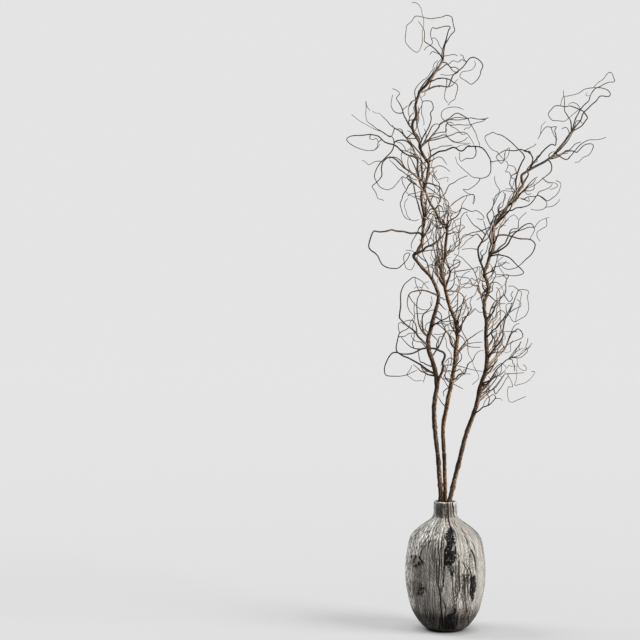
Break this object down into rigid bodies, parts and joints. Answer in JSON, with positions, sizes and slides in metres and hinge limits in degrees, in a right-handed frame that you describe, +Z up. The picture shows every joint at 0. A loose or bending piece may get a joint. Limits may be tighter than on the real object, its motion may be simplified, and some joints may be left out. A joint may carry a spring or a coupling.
{
  "type": "curly willow branches in a vase",
  "caption": "Dried curly willow branches with winding stems and looping twigs, standing in a round-bellied whitewashed wooden bottle vase.",
  "frame": {"origin": "middle of the vase's flat foot, on the surface that it stands on", "axes": "+Z up along the vase's axis; the branches spread widest along X, with the furthest-reaching branch towards +X, and the broad face of the arrangement looks along -Y"},
  "size_m": [0.6446, 0.3846, 1.4305],
  "materials": {
    "whitewashed_wood": "open-grained wood brushed with a pale grey wash, dark in the grain, matt",
    "willow_bark": "dry dark brown bark, a little paler on the thick stems, matt"
  },
  "bodies": {
    "root": {"vase": "whitewashed_wood", "willow_left": "willow_bark", "willow_middle": "willow_bark", "willow_right": "willow_bark"}
  },
  "joints": []
}
